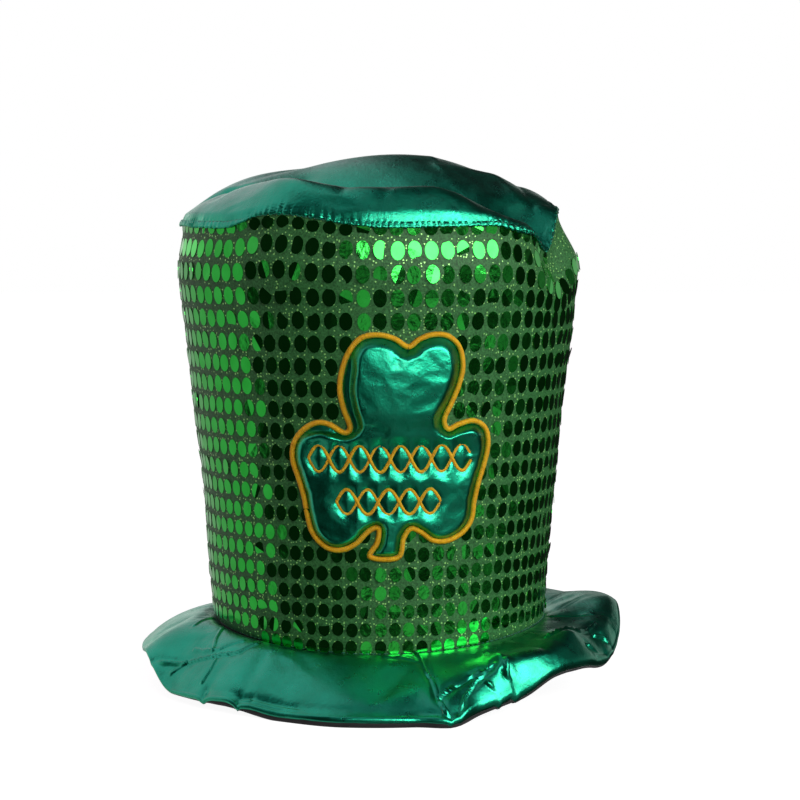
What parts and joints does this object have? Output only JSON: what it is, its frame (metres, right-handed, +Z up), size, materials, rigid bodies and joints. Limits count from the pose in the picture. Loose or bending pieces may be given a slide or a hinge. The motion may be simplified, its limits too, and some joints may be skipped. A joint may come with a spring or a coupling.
{
  "type": "costume top hat",
  "caption": "Soft costume top hat with a sequinned flared crown, a puffed metallic top, a padded wavy brim and a quilted three-leaf clover patch on the front.",
  "frame": {"origin": "where the crown's axis meets the surface that the hat stands on", "axes": "+Z up along the crown's axis, -Y towards the front with the clover patch, +X to the right as seen from the front"},
  "size_m": [0.2786, 0.2842, 0.3035],
  "materials": {
    "sequinned_cloth": "dark green knitted base cloth with glitter, carrying rows of glossy sequins",
    "metallic_cloth": "teal green metallic foil cloth",
    "lining": "matt black woven lining",
    "foam": "open-cell foam sheet",
    "wadding": "polyester wadding",
    "band_cloth": "matt black grosgrain",
    "green_thread": "satin polyester thread",
    "dark_thread": "matt polyester thread",
    "gold_thread": "shiny rayon embroidery thread"
  },
  "bodies": {
    "root": {"crown_side_cloth": "sequinned_cloth", "crown_side_foam": "foam", "crown_side_lining": "lining", "back_seam_thread": "green_thread", "crown_top_cloth": "metallic_cloth", "crown_top_padding": "wadding", "crown_top_lining": "lining", "top_seam_thread": "green_thread", "brim_top_cloth": "metallic_cloth", "brim_padding": "wadding", "brim_under_cloth": "lining", "base_seam_thread": "green_thread", "brim_edge_thread": "green_thread", "brim_joint_thread": "green_thread", "sweatband": "band_cloth", "sweatband_thread": "dark_thread", "clover_padding": "wadding", "clover_cloth": "metallic_cloth", "clover_border": "gold_thread", "clover_upper_braid": "gold_thread", "clover_lower_braid": "gold_thread"}
  },
  "joints": []
}
